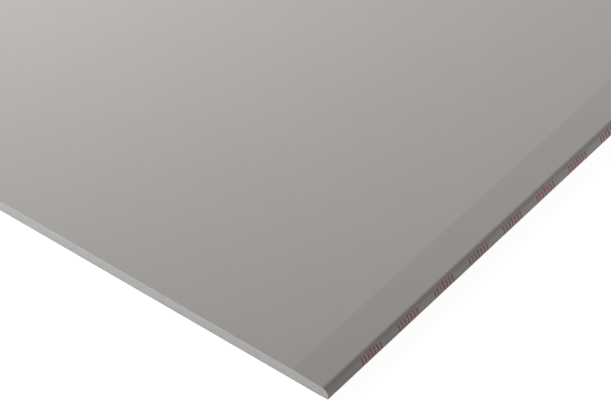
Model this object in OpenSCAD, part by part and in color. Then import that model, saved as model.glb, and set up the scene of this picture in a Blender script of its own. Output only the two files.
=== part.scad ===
// Gypsum plasterboard (drywall sheet) with half-round, tapered long edges.
// A gypsum core is wrapped in one sheet of face paper, which runs over the face, round both long edges and
// back under the board as two flaps. A flat sheet of back paper laps over the flaps and closes the back.
// The two short ends are cut square, so the core and the papers' edges show there.
// Millimetres. X runs across the width, Y along the length and Z up. The sheet lies on its back paper,
// face up, and the origin is under its middle.

/* [Sheet] */
// Length between the two cut ends
sheet_length = 2000; // [500:10:4000]
// Width over the widest points of the two long edges
sheet_width = 1250; // [400:5:1500]
// Thickness over both papers
sheet_thickness = 15; // [9.5:0.5:25]

/* [Long edges] */
// Distance from a long edge to the line where its taper starts
taper_width = 46.5; // [30:0.5:80]
// Depth that the taper reaches at the long edge
taper_depth = 2; // [0.6:0.1:2.5]
// Distance from a long edge in to the arris where its half-round nose meets the back
arris_inset = 0.7; // [0.2:0.1:3]

/* [Papers] */
// Thickness of the face paper
face_paper_thickness = 0.4; // [0.2:0.05:0.8]
// Distance from a long edge to the inner end of the face paper's flap under the board
flap_reach = 25; // [15:1:60]
// Thickness of the back paper
back_paper_thickness = 0.4; // [0.2:0.05:0.8]
// Distance from a long edge to the side of the back paper, which laps over the flap
back_paper_setback = 8; // [4:0.5:12]

/* [Hidden] */
$fn = 120;

half_width = sheet_width / 2;
flap_bottom = back_paper_thickness;
flap_top = flap_bottom + face_paper_thickness;

taper_angle = atan(taper_depth / taper_width);

// The nose is the circle that touches the tapered face and the widest line and passes through the arris.
// A larger radius lowers its centre by nose_drop for each millimetre.
nose_height = sheet_thickness - taper_depth - flap_bottom;
nose_drop = tan(45 - taper_angle / 2);
nose_reach = arris_inset + nose_height * nose_drop;
nose_radius = (nose_reach - sqrt(
    nose_reach ^ 2 - nose_drop ^ 2 * (arris_inset ^ 2 + nose_height ^ 2)
)) / nose_drop ^ 2;
nose_centre = [half_width - nose_radius, sheet_thickness - taper_depth - nose_drop * nose_radius];

// All that lies inside one long edge: under its tapered face, which runs on over the whole board here, and in
// the nose. It is drawn from the nose's centre with Y square to the taper, so the two meet at a tangent.
module inside_edge(inset) {
    radius = nose_radius - inset;
    clear = 2 * radius;
    far = 2 * sheet_width;
    translate(nose_centre) rotate(-taper_angle) {
        translate([-far, radius - far]) square(far);
        intersection() {
            circle(radius);
            translate([0, -clear]) square([clear, 2 * clear]);
        }
    }
}

// The board's section, drawn in by an inset on the face, the tapers and the noses, and cut flat at bottom_z.
module full_section(inset, bottom_z) {
    intersection() {
        translate([-sheet_width, bottom_z])
            square([2 * sheet_width, sheet_thickness - inset - bottom_z]);
        inside_edge(inset);
        mirror([1, 0]) inside_edge(inset);
    }
}

// The core fills the wrap, and between the two flaps it comes down to the back paper.
module core_section() {
    between_flaps = sheet_width - 2 * flap_reach;
    full_section(face_paper_thickness, flap_top);
    translate([-between_flaps / 2, flap_bottom])
        square([between_flaps, sheet_thickness / 2 - flap_bottom]);
}

module face_paper_section() {
    difference() {
        full_section(0, flap_bottom);
        core_section();
    }
}

module back_paper_section() {
    back_paper_width = sheet_width - 2 * back_paper_setback;
    translate([-back_paper_width / 2, 0])
        square([back_paper_width, back_paper_thickness]);
}

// Runs a section, drawn in X and Z, over the whole length of the sheet.
module along_the_sheet() {
    rotate([90, 0, 0])
        linear_extrude(sheet_length, center = true)
            children();
}

module gypsum_core() {
    color([0.70, 0.70, 0.69]) along_the_sheet() core_section();
}

module face_paper() {
    color([0.62, 0.61, 0.59]) along_the_sheet() face_paper_section();
}

module back_paper() {
    color([0.56, 0.53, 0.49]) along_the_sheet() back_paper_section();
}

gypsum_core();
face_paper();
back_paper();
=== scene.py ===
"""A drywall sheet that lies flat on a pale floor, seen from above its near right corner. In metres."""

import math
import random

import bmesh
import bpy
import numpy as np
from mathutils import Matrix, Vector, noise


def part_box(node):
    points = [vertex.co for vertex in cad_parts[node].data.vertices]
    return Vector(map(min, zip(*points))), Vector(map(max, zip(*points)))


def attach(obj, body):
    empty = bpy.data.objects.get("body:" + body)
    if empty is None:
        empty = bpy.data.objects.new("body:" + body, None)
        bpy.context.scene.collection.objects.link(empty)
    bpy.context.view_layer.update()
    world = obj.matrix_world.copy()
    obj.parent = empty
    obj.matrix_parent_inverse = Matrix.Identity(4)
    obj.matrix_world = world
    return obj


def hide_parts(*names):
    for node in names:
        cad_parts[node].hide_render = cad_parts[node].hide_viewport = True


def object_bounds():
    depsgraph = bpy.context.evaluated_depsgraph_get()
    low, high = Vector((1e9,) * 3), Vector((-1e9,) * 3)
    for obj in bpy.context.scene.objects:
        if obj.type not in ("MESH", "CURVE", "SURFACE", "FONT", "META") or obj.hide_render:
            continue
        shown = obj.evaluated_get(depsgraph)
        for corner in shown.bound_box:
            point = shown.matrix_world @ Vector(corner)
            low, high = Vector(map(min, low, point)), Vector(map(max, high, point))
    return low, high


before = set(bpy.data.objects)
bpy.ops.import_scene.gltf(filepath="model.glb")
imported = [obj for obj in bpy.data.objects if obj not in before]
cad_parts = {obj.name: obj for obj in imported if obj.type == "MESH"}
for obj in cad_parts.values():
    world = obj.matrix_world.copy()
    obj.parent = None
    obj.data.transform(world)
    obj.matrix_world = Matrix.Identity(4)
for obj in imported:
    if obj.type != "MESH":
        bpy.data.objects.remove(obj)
cad_low, cad_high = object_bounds()

# Sheet sizes from the frame, rounded to a tenth of a millimetre because its noses are faceted
FRAME_DIGITS = 4
half_width = round(cad_high.x, FRAME_DIGITS)
half_length = round(cad_high.y, FRAME_DIGITS)
thickness = round(cad_high.z, FRAME_DIGITS)
paper = round(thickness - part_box("gypsum_core")[1].z, FRAME_DIGITS)
flap_bottom = round(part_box("back_paper")[1].z, FRAME_DIGITS)
back_half_width = round(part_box("back_paper")[1].x, FRAME_DIGITS)

# Section of the long edges, as the CAD has it
TAPER_WIDTH = 0.0465
TAPER_DEPTH = 0.002
ARRIS_INSET = 0.0007
FLAP_REACH = 0.025
taper_angle = math.atan2(TAPER_DEPTH, TAPER_WIDTH)
nose_height = thickness - TAPER_DEPTH - flap_bottom
nose_drop = math.tan(math.pi / 4 - taper_angle / 2)
nose_reach = ARRIS_INSET + nose_height * nose_drop
nose_corner = nose_drop**2 * (ARRIS_INSET**2 + nose_height**2)
nose_radius = (nose_reach - math.sqrt(nose_reach**2 - nose_corner)) / nose_drop**2
nose_x = half_width - nose_radius
nose_z = thickness - TAPER_DEPTH - nose_drop * nose_radius

# Fineness of the meshes
NOSE_STEPS = 40
FLAP_STEPS = 6
TAPER_STEPS = 14
FACE_STEP = 0.003
CREASE_SOFTNESS = 0.0004
FIRST_ROW = 0.0005
ROW_GROWTH = 1.9
LARGEST_ROW = 0.08
SHARP_ANGLE = math.radians(35)

# Cut ends
PAPER_FRAY = 0.0002
FRAY_SCALE = 160
CORE_STEP = 0.0009
CORE_ROWS = 18
CORE_NOSE_STEPS = 22
CORE_NOSE_TILT = math.radians(86)
FLAP_STEP_WIDTH = 0.00005
CORE_RECESS = 0.00012
COARSE_GRAIN = 0.00008
COARSE_SCALE = 110
FINE_GRAIN = 0.00005
FINE_SCALE = 620
PORES_PER_END = 420
PORE_RADIUS = (0.0007, 0.0014)
PORE_DEPTH = (0.00010, 0.00035)
END_STRIPS = 6
SEED = 7

# Map that textures are baked on, with a box (left, low, right, high) for each side of a paper
BAKE_MAP = "OFBake"
MAP_GAP = 0.004
OUTSIDE_BOX = (0.01, 0.03, 0.93, 0.97)
INSIDE_BOX = (0.94, 0.03, 0.95, 0.97)
FIRST_SIDE_BOX = (0.96, 0.03, 0.965, 0.97)
LAST_SIDE_BOX = (0.975, 0.03, 0.98, 0.97)
NEAR_END_BOX = (0.01, 0.005, 0.93, 0.015)
FAR_END_BOX = (0.01, 0.985, 0.93, 0.995)

# Generic ink ticks on the right long edge
MARK_PITCH = 0.0625
MARK_MARGIN = 0.058
TICKS_IN_GROUP = 7
TICK_SPACING = 0.0052
SHORT_TICK_DOTS = 7
TALL_TICK_DOTS = 9
DOT_SPACING = 0.00118
DOT_RADIUS = 0.00102
DOT_SIZES = (0.92, 1.08)
DOT_PLACE_SHAKE = 0.00012
TICK_ROWS = 28
TICK_TIP = 0.97
CAP_CORNERS = ((0, 1), (3, 2))
INK_HEIGHT = 0.00002
INK_DEPTH = 0.00005
MARK_TILT = math.radians(68)

# Camera, with its angles in degrees
CAMERA_PLACE = Vector((1.73167, -2.43336, 1.94704))
CAMERA_AZIMUTH = 38.402
CAMERA_ELEVATION = 42.713
LEVEL_TILT = 90
CAMERA_LENS = 154.65
CAMERA_SENSOR = 36
CAMERA_CLIP_END = 100

# Studio light
KEY_PLACE = Vector((-1.71, 0.23, 0.935))
KEY_TARGET = Vector((0.02, 0.15, 0))
KEY_SIZE = (3.2, 0.4)
KEY_SPREAD = 59
KEY_POWER = 27.4
KEY_COLOUR = (0.942, 0.978, 1.0)
FILL_PLACE = Vector((1.5, 0.2, 0.1))
FILL_TARGET = Vector((0.62, -0.4, 0.02))
FILL_SIZE = (0.8, 0.15)
FILL_POWER = 5.1
FILL_COLOUR = (0.892, 0.968, 1.0)
CARD_PLACE = Vector((0.2, -3.0, 0.3))
CARD_TARGET = Vector((0.4, -1.0, 0))
CARD_SIZE = (1.6, 0.5)
CARD_POWER = 11.3
CARD_COLOUR = (0.924, 0.974, 1.0)
FULL_SPREAD = 180
FLAG_X = -1.2
FLAG_TOP = 0.41
FLAG_HALF_LENGTH = 2.2
SKY_STRENGTH = 0.272
SKY_COLOUR = (1.0, 0.9, 0.85, 1)
WHITE = (1, 1, 1, 1)

# Floor
FLOOR_HALF_SIZE = 100
FLOOR_COLOUR = (0.8, 0.8, 0.8, 1)
FLOOR_SHADOW_COLOUR = (0.22, 0.22, 0.22, 1)
FLOOR_GLOW = (0.92, 1)
FLOOR_GLOW_REACH = (0.08, 0.4)

# Colours, as linear values
FACE_DARK = (0.345, 0.330, 0.313, 1)
FACE_LIGHT = (0.412, 0.396, 0.378, 1)
FACE_FLECK = (0.24, 0.225, 0.205, 1)
BACK_DARK = (0.255, 0.225, 0.185, 1)
BACK_LIGHT = (0.345, 0.312, 0.266, 1)
BACK_FLECK = (0.13, 0.11, 0.09, 1)
GYPSUM_DARK = (0.54, 0.535, 0.53, 1)
GYPSUM_LIGHT = (0.67, 0.665, 0.66, 1)
# Painted shade inside small air pores
GYPSUM_PORE_SHADE = (0.37, 0.365, 0.36, 1)
INK_DARK = (0.24, 0.07, 0.084, 1)
INK_LIGHT = (0.35, 0.115, 0.137, 1)

# Noise patterns: scale per metre, how far they are drawn out along the length, and layers of detail
NOISE_MIDDLE = 0.5
FELT = {"scale": 1100, "stretch": 4, "detail": 3}
STRAND_LINES = {"scale": 300, "stretch": 3, "detail": 1}
STRAND_PLACES = {"scale": 210, "stretch": 3, "detail": 2}
CLOUDS = {"scale": 28, "stretch": 1.6, "detail": 3}
STREAKS = {"scale": 70, "stretch": 40, "detail": 2}
SPECKS = {"scale": 620, "stretch": 1.8, "detail": 1}
GRAIN = {"scale": 1500, "stretch": 1, "detail": 4}
PATCHES = {"scale": 140, "stretch": 1, "detail": 2}
BUBBLES = {"scale": 900, "stretch": 1, "detail": 0}
SOAK = {"scale": 1300, "stretch": 1, "detail": 2}

# Paper finish
STRAND_WIDTH = 0.014
STRAND_PLACE_SPAN = (0.5, 0.56)
FELT_WEIGHT = 1
STRAND_WEIGHT = 0.3
FIBRE_WEIGHT = 0.9
CLOUD_WEIGHT = 0.14
STREAK_WEIGHT = 0.07
# Painted shade: how much darker the face paper is made on the tapers and noses
FACE_TAPER_SHADE_WEIGHT = -0.13
FLECK_SPAN = (0.70, 0.78)
FACE_FLECK_SHARE = 0.25
BACK_FLECK_SHARE = 0.55
PAPER_FIBRE_SPAN = (0.3, 0.7)
PAPER_ROUGHNESS = (0.88, 1)
PAPER_SPECULAR = 0.08
PAPER_BUMP = {"Distance": 0.00004, "Strength": 0.5}

# Gypsum and ink finish
GRAIN_WEIGHT = 1.1
PATCH_WEIGHT = 0.5
PORE_SHADE_SPAN = (0.70, 0.80)
PORE_SHADE_SHARE = 0.7
GYPSUM_ROUGHNESS = 0.95
GYPSUM_SPECULAR = 0.1
GYPSUM_BUMP = {"Distance": 0.00008, "Strength": 0.6}
SOAK_WEIGHT = 1.6
INK_ROUGHNESS = 0.8
INK_SPECULAR = 0.2

# Sockets of the mix node when it mixes colours
MIX_FACTOR = 0
MIX_FIRST = 6
MIX_SECOND = 7
MIX_RESULT = 2


# Mesh helpers


def straight(start, end, steps):
    """Points from start towards end, without end itself."""
    return np.linspace(start, end, steps, endpoint=False)


def numbered(points):
    """Vertex numbers for an array of points, in the array's own rows and columns."""
    shape = points.shape[:-1]
    return np.arange(math.prod(shape)).reshape(shape)


def cells(grid):
    """The four corners of each cell of a grid, whose corners hold vertex numbers or places."""
    corners = (grid[:-1, :-1], grid[:-1, 1:], grid[1:, 1:], grid[1:, :-1])
    return np.stack(corners, axis=2).reshape(-1, len(corners), *grid.shape[2:])


def spaced(line):
    """How far along a line of points each one lies, from 0 to 1."""
    run = np.cumsum(np.linalg.norm(np.diff(line, axis=0), axis=1))
    return np.concatenate(([0], run / run[-1]))


def chart(points, box):
    """Places for a grid of points in a box of the map that textures are baked on."""
    left, low, right, high = box
    across = left + (right - left) * spaced(points[0])
    along = low + (high - low) * spaced(points[:, 0])
    return np.stack(np.meshgrid(across, along), axis=-1)


def map_spans(count):
    """The ends of equal spans that divide the map, with gaps between them."""
    edges = np.linspace(0, 1, count + 1)
    return [(low + MAP_GAP, high - MAP_GAP) for low, high in zip(edges[:-1], edges[1:])]


def map_boxes(columns, rows):
    """Boxes that divide the map into columns and rows, from its lowest row up."""
    return [(left, low, right, high) for low, high in map_spans(rows) for left, right in map_spans(columns)]


def make_piece(name, points, sides, material):
    """A closed mesh, smooth apart from its sharp edges, that rides with the sheet.

    Each side is a grid of vertex numbers with its box on the map.
    """
    flat = points.reshape(-1, points.shape[-1])
    faces = np.concatenate([cells(grid) for grid, _ in sides])
    places = np.concatenate([cells(chart(flat[grid], box)) for grid, box in sides])
    mesh = bpy.data.meshes.new(name)
    mesh.from_pydata(flat.tolist(), [], faces.tolist())
    mesh.uv_layers.new(name=BAKE_MAP).uv.foreach_set("vector", np.ravel(places))
    shell = bmesh.new()
    shell.from_mesh(mesh)
    bmesh.ops.recalc_face_normals(shell, faces=shell.faces)
    shell.to_mesh(mesh)
    shell.free()
    mesh.shade_smooth()
    mesh.set_sharp_from_angle(angle=SHARP_ANGLE)
    mesh.materials.append(material)
    piece = bpy.data.objects.new(name, mesh)
    bpy.context.collection.objects.link(piece)
    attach(piece, "root")
    return piece


def graded_rows():
    """Places along the length, close together at the cut ends and further apart between them."""
    distance = 0.0
    step = FIRST_ROW
    near = []
    while distance < half_length:
        near.append(distance - half_length)
        distance += step
        step = min(step * ROW_GROWTH, LARGEST_ROW)
    near = np.array(near)
    return np.concatenate((near, -near[::-1]))


def fray(path):
    """How far a cut paper edge falls back behind the end of the sheet, along its path."""
    heights = np.array([noise.noise((x * FRAY_SCALE, z * FRAY_SCALE, 0)) for x, z in path])
    return PAPER_FRAY * np.clip((heights + 1) / 2, 0, 1)


def sweep_band(name, outer, inner, material):
    """A closed thin sheet: the band between two matching section paths, swept along the length."""
    x, z = np.moveaxis(np.stack((outer, inner)), -1, 0)
    y = np.tile(graded_rows()[:, None, None], x.shape)
    edge = fray(outer)
    y[0] += edge
    y[-1] -= edge
    points = np.stack(np.broadcast_arrays(x, y, z), axis=-1)
    index = numbered(points)
    sides = (
        (index[:, 0], OUTSIDE_BOX),
        (index[:, 1], INSIDE_BOX),
        (index[:, :, 0], FIRST_SIDE_BOX),
        (index[:, :, -1], LAST_SIDE_BOX),
        (index[0], NEAR_END_BOX),
        (index[-1], FAR_END_BOX),
    )
    return make_piece(name, points, sides, material)


# Pieces


def wrap_path(inset):
    """Section of the face paper at a depth below its outside: flap, nose, taper, face, and back again."""
    radius = nose_radius - inset
    flap_z = flap_bottom + inset
    face_z = thickness - inset
    tilts = np.linspace(math.acos((flap_z - nose_z) / radius), taper_angle, NOSE_STEPS + 1)
    arc = np.column_stack((nose_x + radius * np.sin(tilts), nose_z + radius * np.cos(tilts)))
    crease_x = half_width - TAPER_WIDTH - inset * math.tan(taper_angle / 2)
    taper_edge = np.array((1, -math.tan(taper_angle))) * CREASE_SOFTNESS + (crease_x, face_z)
    face_edge = np.array((-1, 0)) * CREASE_SOFTNESS + (crease_x, face_z)
    taper_end = 2 * taper_edge - (crease_x, face_z)
    face_start = 2 * face_edge - (crease_x, face_z)
    flap = straight((half_width - FLAP_REACH, flap_z), arc[0], FLAP_STEPS)
    taper = straight(arc[-1], taper_end, TAPER_STEPS)
    half_face = straight(face_start, (0, face_z), round(half_width / FACE_STEP))
    right = np.concatenate((flap, arc[:-1], taper, [taper_end, taper_edge, face_edge], half_face))
    left = right[::-1] * (-1, 1)
    return np.concatenate((right, [(0, face_z)], left))


def make_face_paper():
    """One sheet of paper over the face, round both long edges and back under the board."""
    outside = wrap_path(0)
    inside = wrap_path(paper)
    piece = sweep_band("face_paper_wrap", outside, inside, face_paper_material())
    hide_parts("face_paper")


def make_back_paper():
    """One flat sheet of paper that closes the back."""
    across = np.linspace(-back_half_width, back_half_width, round(2 * back_half_width / FACE_STEP))
    under = np.column_stack((across, np.zeros_like(across)))
    over = np.column_stack((across, np.full_like(across, flap_bottom)))
    piece = sweep_band("back_paper_sheet", under, over, back_paper_material())
    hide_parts("back_paper")


def core_section():
    """(x, lowest z, highest z) in columns across the core, from nose to nose."""
    radius = nose_radius - paper
    flap_top = flap_bottom + paper
    crease_x = half_width - TAPER_WIDTH - paper * math.tan(taper_angle / 2)
    tangent_x = nose_x + radius * math.sin(taper_angle)
    flap_x = half_width - FLAP_REACH
    arris_x = nose_x + math.sqrt(radius**2 - (flap_top - nose_z) ** 2)
    flat_part = np.linspace(0, nose_x, round(nose_x / CORE_STEP))
    flap_part = np.array((flap_x, flap_x + FLAP_STEP_WIDTH))
    round_part = nose_x + radius * np.sin(np.linspace(0, CORE_NOSE_TILT, CORE_NOSE_STEPS))
    x = np.unique(np.concatenate((flat_part, flap_part, round_part)))
    arc = np.sqrt(np.maximum(radius**2 - np.maximum(x - nose_x, 0) ** 2, 0))
    slope = thickness - paper - np.maximum(x - crease_x, 0) * math.tan(taper_angle)
    high = np.where(x < tangent_x, slope, nose_z + arc)
    low = np.where(x <= flap_x, flap_bottom, np.where(x < arris_x, flap_top, nose_z - arc))
    half = np.column_stack((x, low, high))
    return np.concatenate((half[:0:-1] * (-1, 1, 1), half))


def cut_relief(x, z, seed):
    """How far each point of a cut end lies behind the end plane: grain of two sizes, and pores."""
    grain = np.array([
        COARSE_GRAIN * noise.noise((a * COARSE_SCALE, seed, b * COARSE_SCALE))
        + FINE_GRAIN * noise.noise((a * FINE_SCALE, seed, b * FINE_SCALE))
        for a, b in zip(x.ravel(), z.ravel())
    ])
    depth = CORE_RECESS + grain.reshape(x.shape)
    draw = random.Random(seed)
    for _ in range(PORES_PER_END):
        pore_x = draw.uniform(-half_width, half_width)
        pore_z = draw.uniform(flap_bottom, thickness - paper)
        radius = draw.uniform(*PORE_RADIUS)
        near = np.clip(1 - ((x - pore_x) ** 2 + (z - pore_z) ** 2) / radius**2, 0, 1)
        depth += draw.uniform(*PORE_DEPTH) * near
    return np.maximum(depth, 0)


def make_core():
    """The gypsum core, with grain and pores on its two cut ends."""
    x, low, high = core_section().T
    z = low + (high - low) * np.linspace(0, 1, CORE_ROWS + 1)[:, None]
    x = np.broadcast_to(x, z.shape)
    near_y = cut_relief(x, z, SEED) - half_length
    far_y = half_length - cut_relief(x, z, SEED + 1)
    points = np.stack([np.stack((x, y, z), axis=-1) for y in (near_y, far_y)])
    near, far = numbered(points)
    stops = np.linspace(0, x.shape[1] - 1, END_STRIPS + 1).round().astype(int)
    grids = [end[:, a : b + 1] for end in (near, far) for a, b in zip(stops[:-1], stops[1:])]
    grids += [np.stack((near[row], far[row])) for row in (0, -1)]
    grids += [np.stack((near[:, column], far[:, column])) for column in (0, -1)]
    sides = list(zip(grids, map_boxes(1, len(grids)), strict=True))
    piece = make_piece("gypsum_core_cut", points, sides, gypsum_material())
    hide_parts("gypsum_core")


def ink_tick(draw, dots, y):
    """Rows of four points round one thin tick, whose ink dots have run together, on the round nose."""
    shift = [draw.gauss(0, DOT_PLACE_SHAKE) for _ in range(dots)]
    lean = [draw.gauss(0, DOT_PLACE_SHAKE) for _ in range(dots)]
    radii = DOT_RADIUS * np.array([draw.uniform(*DOT_SIZES) for _ in range(dots)])
    middles = (np.arange(dots) - (dots - 1) / 2) * DOT_SPACING + shift
    reach = radii * TICK_TIP
    arc = np.linspace(middles[0] - reach[0], middles[-1] + reach[-1], TICK_ROWS)
    half = np.sqrt(np.maximum(radii**2 - (arc[:, None] - middles) ** 2, 0))
    low = y + np.where(half > 0, lean - half, np.inf).min(axis=1)
    high = y + np.where(half > 0, lean + half, -np.inf).max(axis=1)
    tilt = MARK_TILT + arc / nose_radius
    ring = []
    for along, lift in ((low, INK_HEIGHT), (high, INK_HEIGHT), (high, -INK_DEPTH), (low, -INK_DEPTH)):
        level = nose_radius + lift
        ring.append(np.column_stack((nose_x + level * np.sin(tilt), along, nose_z + level * np.cos(tilt))))
    return np.stack(ring, axis=1)


def make_edge_marks():
    """Plain groups of ink ticks on the right long edge, with no words or signs."""
    draw = random.Random(SEED)
    ticks = []
    groups = int((2 * half_length - 2 * MARK_MARGIN) / MARK_PITCH)
    for group in range(groups):
        for tick in range(TICKS_IN_GROUP):
            middle = tick == TICKS_IN_GROUP // 2
            dots = TALL_TICK_DOTS if middle else SHORT_TICK_DOTS
            y = -half_length + MARK_MARGIN + group * MARK_PITCH + tick * TICK_SPACING
            ticks.append(ink_tick(draw, dots, y))
    points = np.array(ticks)
    grids = []
    for tick in numbered(points):
        round_tick = np.concatenate((tick, tick[:, :1]), axis=1)
        grids += [round_tick, tick[0, CAP_CORNERS], tick[-1, CAP_CORNERS]]
    columns = math.ceil(math.sqrt(len(grids)))
    sides = list(zip(grids, map_boxes(columns, columns)))
    make_piece("edge_ink_ticks", points, sides, ink_material())


# Node helpers


def add_node(tree, kind, inputs, **settings):
    """Adds a node, sets its properties, and fills its inputs with values or links."""
    made = tree.nodes.new(kind)
    for name, value in settings.items():
        setattr(made, name, value)
    for key, value in inputs.items():
        if isinstance(value, bpy.types.NodeSocket):
            tree.links.new(value, made.inputs[key])
        else:
            made.inputs[key].default_value = value
    return made


def calculate(tree, operation, *values):
    """The result of one step of arithmetic on numbers or links."""
    return add_node(tree, "ShaderNodeMath", dict(enumerate(values)), operation=operation).outputs[0]


def calculate_vector(tree, operation, *vectors):
    """The node that does one step of arithmetic on vectors."""
    return add_node(tree, "ShaderNodeVectorMath", dict(enumerate(vectors)), operation=operation)


def rescale(tree, value, span, result):
    """The result's first number up to the start of the span, changing to its second at the span's end."""
    start, end = span
    first, last = result
    inputs = {"Value": value, "From Min": start, "From Max": end, "To Min": first, "To Max": last}
    return add_node(tree, "ShaderNodeMapRange", inputs).outputs[0]


def mix_colours(tree, factor, first, second):
    """The first colour where the factor is zero, the second where it is one."""
    inputs = {MIX_FACTOR: factor, MIX_FIRST: first, MIX_SECOND: second}
    return add_node(tree, "ShaderNodeMix", inputs, data_type="RGBA").outputs[MIX_RESULT]


def sheet_place(tree):
    """The place of a point of the sheet."""
    return add_node(tree, "ShaderNodeTexCoord", {}).outputs["Object"]


def stretched_noise(tree, scale, stretch, detail):
    """Noise in object space, drawn out along the sheet's length."""
    inputs = {"Vector": sheet_place(tree), "Scale": (1, 1 / stretch, 1)}
    mapped = add_node(tree, "ShaderNodeMapping", inputs).outputs[0]
    inputs = {"Vector": mapped, "Scale": scale, "Detail": detail}
    return add_node(tree, "ShaderNodeTexNoise", inputs).outputs[0]


def weighted_sum(tree, parts):
    """A noise's middle value, moved by each part's distance from that value times the part's weight."""
    total = NOISE_MIDDLE * (1 - sum(weight for _, weight in parts))
    for part, weight in parts:
        total = calculate(tree, "MULTIPLY_ADD", part, weight, total)
    return total


def add_bump(tree, shader, height, depths):
    """Fine relief from a pattern."""
    bump = add_node(tree, "ShaderNodeBump", {"Height": height, **depths})
    tree.links.new(bump.outputs[0], shader.inputs["Normal"])


# Materials


def new_material(name):
    """A material with its node tree and its shader."""
    material = bpy.data.materials.new(name)
    material.use_nodes = True
    return material, material.node_tree, material.node_tree.nodes["Principled BSDF"]


def thin_strands(tree):
    """Short lines where one noise passes through its middle value, kept only where another is high."""
    off = calculate(tree, "SUBTRACT", stretched_noise(tree, **STRAND_LINES), NOISE_MIDDLE)
    line = rescale(tree, calculate(tree, "ABSOLUTE", off), (0, STRAND_WIDTH), (1, 0))
    place = rescale(tree, stretched_noise(tree, **STRAND_PLACES), STRAND_PLACE_SPAN, (0, 1))
    return calculate(tree, "MULTIPLY", line, place)


def taper_shade_strips(tree):
    """One on the tapers and noses, where the paper gets painted shade, and zero between them."""
    across = add_node(tree, "ShaderNodeSeparateXYZ", {"Vector": sheet_place(tree)}).outputs["X"]
    crease = half_width - TAPER_WIDTH
    span = (crease - CREASE_SOFTNESS, crease + CREASE_SOFTNESS)
    return rescale(tree, calculate(tree, "ABSOLUTE", across), span, (0, 1))


def paper_material(name, dark, light, fleck, fleck_share, taper_shade_weight=0):
    """Matt recycled paper: felted fibres along the web, single strands, faint clouding and small flecks."""
    material, tree, shader = new_material(name)
    felt = stretched_noise(tree, **FELT)
    clouds = stretched_noise(tree, **CLOUDS)
    streaks = stretched_noise(tree, **STREAKS)
    fibres = weighted_sum(tree, ((felt, FELT_WEIGHT), (thin_strands(tree), STRAND_WEIGHT)))
    parts = [(fibres, FIBRE_WEIGHT), (clouds, CLOUD_WEIGHT), (streaks, STREAK_WEIGHT)]
    # Painted shade that darkens the paper on the tapers and noses
    if taper_shade_weight:
        parts.append((taper_shade_strips(tree), taper_shade_weight))
    ground = mix_colours(tree, weighted_sum(tree, parts), dark, light)
    flecks = rescale(tree, stretched_noise(tree, **SPECKS), FLECK_SPAN, (0, fleck_share))
    tree.links.new(mix_colours(tree, flecks, ground, fleck), shader.inputs["Base Color"])
    tree.links.new(rescale(tree, fibres, PAPER_FIBRE_SPAN, PAPER_ROUGHNESS), shader.inputs["Roughness"])
    add_bump(tree, shader, fibres, PAPER_BUMP)
    shader.inputs["Specular IOR Level"].default_value = PAPER_SPECULAR
    return material


def face_paper_material():
    """Grey paper, made a little darker on the tapers and noses by painted shade."""
    colours = (FACE_DARK, FACE_LIGHT, FACE_FLECK)
    return paper_material("face_paper_grey", *colours, FACE_FLECK_SHARE, FACE_TAPER_SHADE_WEIGHT)


def back_paper_material():
    """Brown-grey paper with more flecks."""
    colours = (BACK_DARK, BACK_LIGHT, BACK_FLECK)
    return paper_material("back_paper_brown", *colours, BACK_FLECK_SHARE)


def gypsum_material():
    """Chalky cut gypsum: fine grain, with painted shade in darker spots where small air pores are."""
    material, tree, shader = new_material("gypsum_cut")
    grain = stretched_noise(tree, **GRAIN)
    patches = stretched_noise(tree, **PATCHES)
    tone = weighted_sum(tree, ((grain, GRAIN_WEIGHT), (patches, PATCH_WEIGHT)))
    ground = mix_colours(tree, tone, GYPSUM_DARK, GYPSUM_LIGHT)
    # Painted shade: darker spots that stand for the shade inside small air pores
    pores = rescale(tree, stretched_noise(tree, **BUBBLES), PORE_SHADE_SPAN, (0, PORE_SHADE_SHARE))
    tree.links.new(mix_colours(tree, pores, ground, GYPSUM_PORE_SHADE), shader.inputs["Base Color"])
    add_bump(tree, shader, grain, GYPSUM_BUMP)
    shader.inputs["Roughness"].default_value = GYPSUM_ROUGHNESS
    shader.inputs["Specular IOR Level"].default_value = GYPSUM_SPECULAR
    return material


def ink_material():
    """Thin red ink that the paper has drunk in unevenly."""
    material, tree, shader = new_material("edge_ink_red")
    tone = weighted_sum(tree, ((stretched_noise(tree, **SOAK), SOAK_WEIGHT),))
    tree.links.new(mix_colours(tree, tone, INK_DARK, INK_LIGHT), shader.inputs["Base Color"])
    shader.inputs["Roughness"].default_value = INK_ROUGHNESS
    shader.inputs["Specular IOR Level"].default_value = INK_SPECULAR
    return material


# Studio


def empty_tree(owner):
    """The node tree of a new material or world, with no nodes in it."""
    owner.use_nodes = True
    owner.node_tree.nodes.clear()
    return owner.node_tree


def background_rays(tree):
    """One for rays that only show a background: from the camera, mirrored, or seen through glass."""
    path = add_node(tree, "ShaderNodeLightPath", {})
    most = path.outputs["Is Camera Ray"]
    for name in ("Is Glossy Ray", "Is Transmission Ray"):
        most = calculate(tree, "MAXIMUM", most, path.outputs[name])
    return most


def show_background(tree, lit, seen, output):
    """Ends a tree with one shader for light, and another for rays that only show a background."""
    inputs = {0: background_rays(tree), 1: lit.outputs[0], 2: seen.outputs[0]}
    both = add_node(tree, "ShaderNodeMixShader", inputs)
    add_node(tree, output, {"Surface": both.outputs[0]})


def away_from_sheet(tree):
    """Distance on the floor from the sheet's outline."""
    place = add_node(tree, "ShaderNodeNewGeometry", {}).outputs["Position"]
    corner = (half_width, half_length, 0)
    mirrored = calculate_vector(tree, "ABSOLUTE", place).outputs[0]
    past = calculate_vector(tree, "SUBTRACT", mirrored, corner).outputs[0]
    outside = calculate_vector(tree, "MAXIMUM", past, (0, 0, 0)).outputs[0]
    return calculate_vector(tree, "LENGTH", outside).outputs["Value"]


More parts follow.
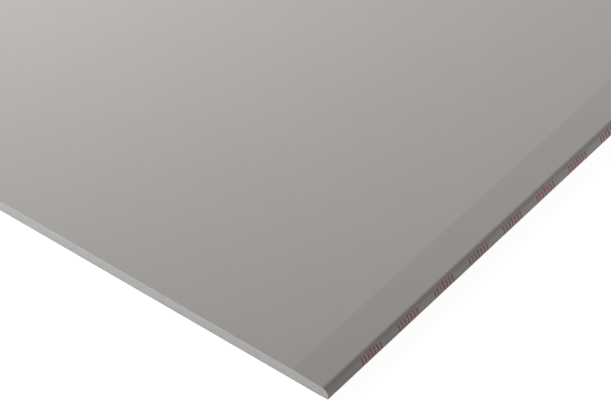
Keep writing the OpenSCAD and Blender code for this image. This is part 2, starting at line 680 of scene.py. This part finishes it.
def floor_material():
    """Pale matt floor that shows white to the camera, apart from the sheet's soft shadow."""
    material = bpy.data.materials.new("studio_floor")
    tree = empty_tree(material)
    matt = add_node(tree, "ShaderNodeBsdfDiffuse", {"Color": FLOOR_COLOUR})
    shadow = add_node(tree, "ShaderNodeBsdfDiffuse", {"Color": FLOOR_SHADOW_COLOUR})
    strength = rescale(tree, away_from_sheet(tree), FLOOR_GLOW_REACH, FLOOR_GLOW)
    glow = add_node(tree, "ShaderNodeEmission", {"Strength": strength})
    seen = add_node(tree, "ShaderNodeAddShader", {0: shadow.outputs[0], 1: glow.outputs[0]})
    show_background(tree, matt, seen, "ShaderNodeOutputMaterial")
    return material


def flag_material():
    """Pale matt panel."""
    material = bpy.data.materials.new("studio_flag")
    tree = empty_tree(material)
    matt = add_node(tree, "ShaderNodeBsdfDiffuse", {"Color": FLOOR_COLOUR})
    add_node(tree, "ShaderNodeOutputMaterial", {"Surface": matt.outputs[0]})
    return material


def make_quad(name, corners, material):
    """A flat panel with four corners."""
    mesh = bpy.data.meshes.new(name)
    mesh.from_pydata(corners, [], [tuple(range(len(corners)))])
    mesh.materials.append(material)
    quad = bpy.data.objects.new(name, mesh)
    bpy.context.collection.objects.link(quad)
    return quad


def make_floor():
    """A wide pale floor under the sheet."""
    size = FLOOR_HALF_SIZE
    corners = [(-size, -size, 0), (size, -size, 0), (size, size, 0), (-size, size, 0)]
    floor = make_quad("studio_floor", corners, floor_material())


def make_flag():
    """An upright panel, unseen by the camera, that keeps part of the key light off the left edge."""
    low = [(FLAG_X, -FLAG_HALF_LENGTH, 0), (FLAG_X, FLAG_HALF_LENGTH, 0)]
    high = [(FLAG_X, FLAG_HALF_LENGTH, FLAG_TOP), (FLAG_X, -FLAG_HALF_LENGTH, FLAG_TOP)]
    flag = make_quad("studio_flag", low + high, flag_material())
    flag.visible_camera = False


def make_sky():
    """Even soft light from all round, which the camera sees as white."""
    world = bpy.data.worlds.new("studio_sky")
    bpy.context.scene.world = world
    tree = empty_tree(world)
    light = add_node(tree, "ShaderNodeBackground", {"Color": SKY_COLOUR, "Strength": SKY_STRENGTH})
    white = add_node(tree, "ShaderNodeBackground", {"Color": WHITE, "Strength": 1})
    show_background(tree, light, white, "ShaderNodeOutputWorld")


def make_softbox(name, place, target, size, spread, power, colour):
    """A soft rectangular lamp that faces its target."""
    light = bpy.data.lights.new(name, "AREA")
    light.shape = "RECTANGLE"
    light.size, light.size_y = size
    light.spread = math.radians(spread)
    light.energy = power
    light.color = colour
    lamp = bpy.data.objects.new(name, light)
    lamp.location = place
    lamp.rotation_euler = (target - place).to_track_quat("-Z", "Y").to_euler()
    lamp.visible_camera = False
    bpy.context.collection.objects.link(lamp)


def make_camera():
    """The photograph's camera."""
    data = bpy.data.cameras.new("photo_camera")
    data.sensor_width = CAMERA_SENSOR
    data.lens = CAMERA_LENS
    data.clip_end = CAMERA_CLIP_END
    camera = bpy.data.objects.new("photo_camera", data)
    camera.location = CAMERA_PLACE
    camera.rotation_euler = (math.radians(LEVEL_TILT - CAMERA_ELEVATION), 0, math.radians(CAMERA_AZIMUTH))
    bpy.context.collection.objects.link(camera)
    bpy.context.scene.camera = camera


make_camera()
make_face_paper()
make_core()
make_back_paper()
make_edge_marks()
make_floor()
make_flag()
make_sky()
make_softbox("key_softbox", KEY_PLACE, KEY_TARGET, KEY_SIZE, KEY_SPREAD, KEY_POWER, KEY_COLOUR)
make_softbox("edge_fill", FILL_PLACE, FILL_TARGET, FILL_SIZE, FULL_SPREAD, FILL_POWER, FILL_COLOUR)
make_softbox("front_card", CARD_PLACE, CARD_TARGET, CARD_SIZE, FULL_SPREAD, CARD_POWER, CARD_COLOUR)
bpy.context.scene.view_settings.view_transform = "Standard"

bpy.context.view_layer.update()
